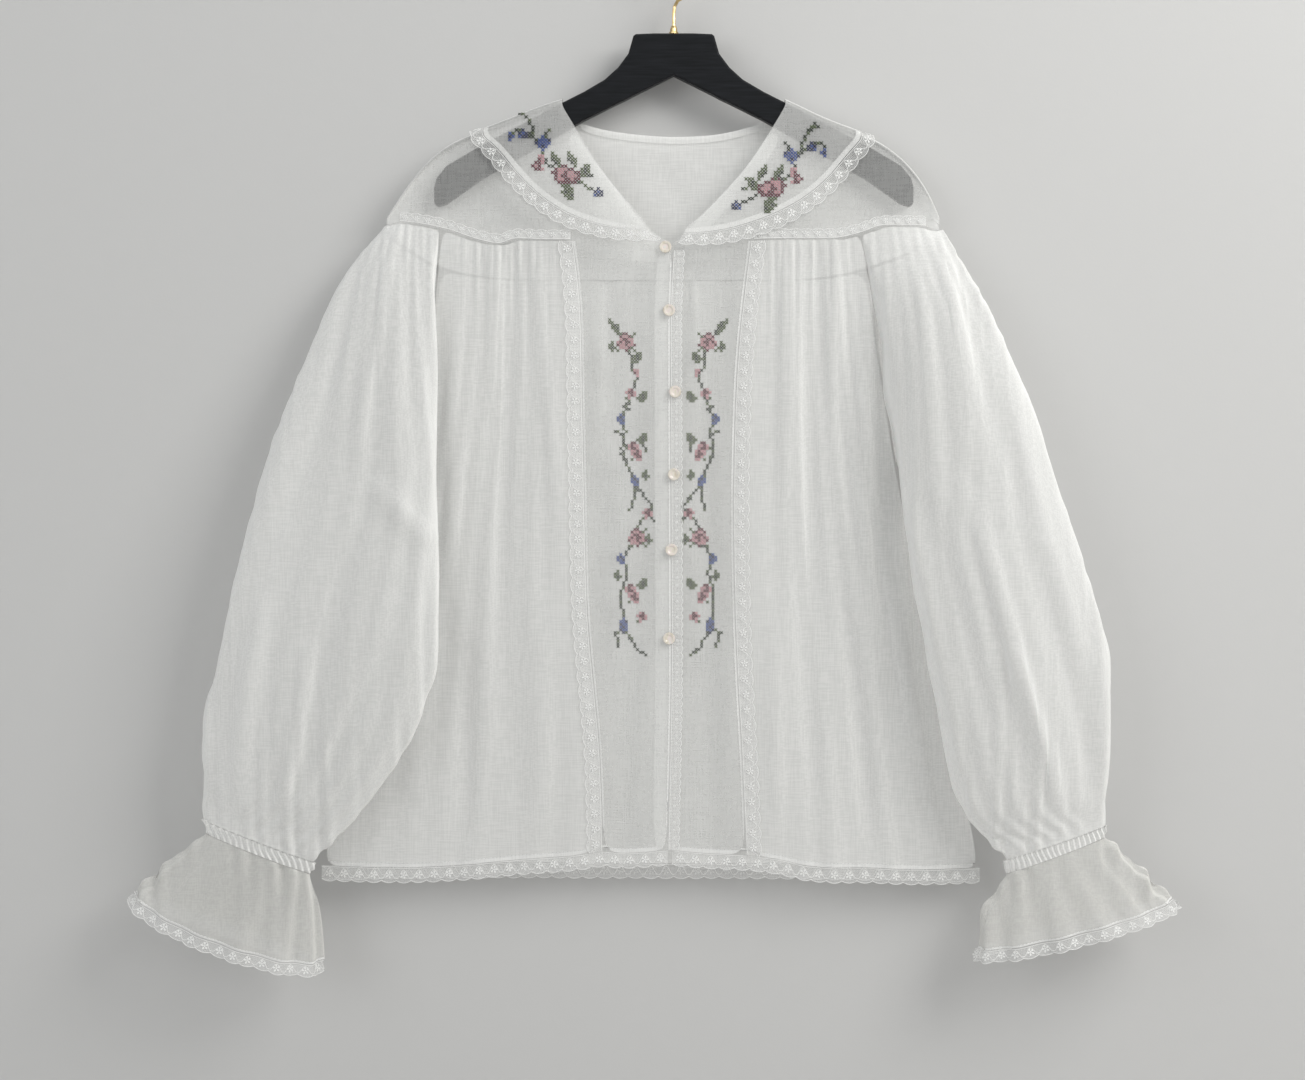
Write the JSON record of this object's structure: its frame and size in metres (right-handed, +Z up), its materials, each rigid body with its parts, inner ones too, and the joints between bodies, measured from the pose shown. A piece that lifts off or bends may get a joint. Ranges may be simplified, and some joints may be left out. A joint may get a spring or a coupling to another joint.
{
  "type": "embroidered blouse on a hanger",
  "caption": "Sheer white embroidered blouse with cape collar, lace trims, gathered body and balloon sleeves with ruffled cuffs, hung on a flat black hanger",
  "frame": {"origin": "inside top of the hanger's hook, where a rod or wall hook holds it", "axes": "+Z up, -Y the garment's front, +X the wearer's left (the viewer's right)"},
  "size_m": [0.8628, 0.0761, 0.8362],
  "materials": {
    "cloth": "sheer off-white plain weave",
    "lace": "fine net with flowers",
    "shell_button": "pearly shell",
    "black_wood": "matt black lacquer",
    "brass": "polished"
  },
  "bodies": {
    "root": {"back": "cloth", "back_yoke": "cloth", "collar": "cloth", "front_left": "cloth", "front_right": "cloth", "neck_facing_back": "cloth", "neck_facing_left": "cloth", "neck_facing_right": "cloth", "placket": "cloth", "ruffle_left": "cloth", "ruffle_right": "cloth", "side_front_left": "cloth", "side_front_right": "cloth", "sleeve_left": "cloth", "sleeve_right": "cloth", "wrist_left": "cloth", "wrist_right": "cloth", "collar_lace": "lace", "hem_lace_back": "lace", "hem_lace_front_left": "lace", "hem_lace_front_right": "lace", "placket_lace": "lace", "ruffle_lace_left": "lace", "ruffle_lace_right": "lace", "seam_lace_left": "lace", "seam_lace_right": "lace", "yoke_lace_left": "lace", "yoke_lace_right": "lace", "button_1": "shell_button", "button_2": "shell_button", "button_3": "shell_button", "button_4": "shell_button", "button_5": "shell_button", "button_6": "shell_button", "hanger": "black_wood", "hook": "brass", "hook_nut": "brass"}
  },
  "joints": []
}
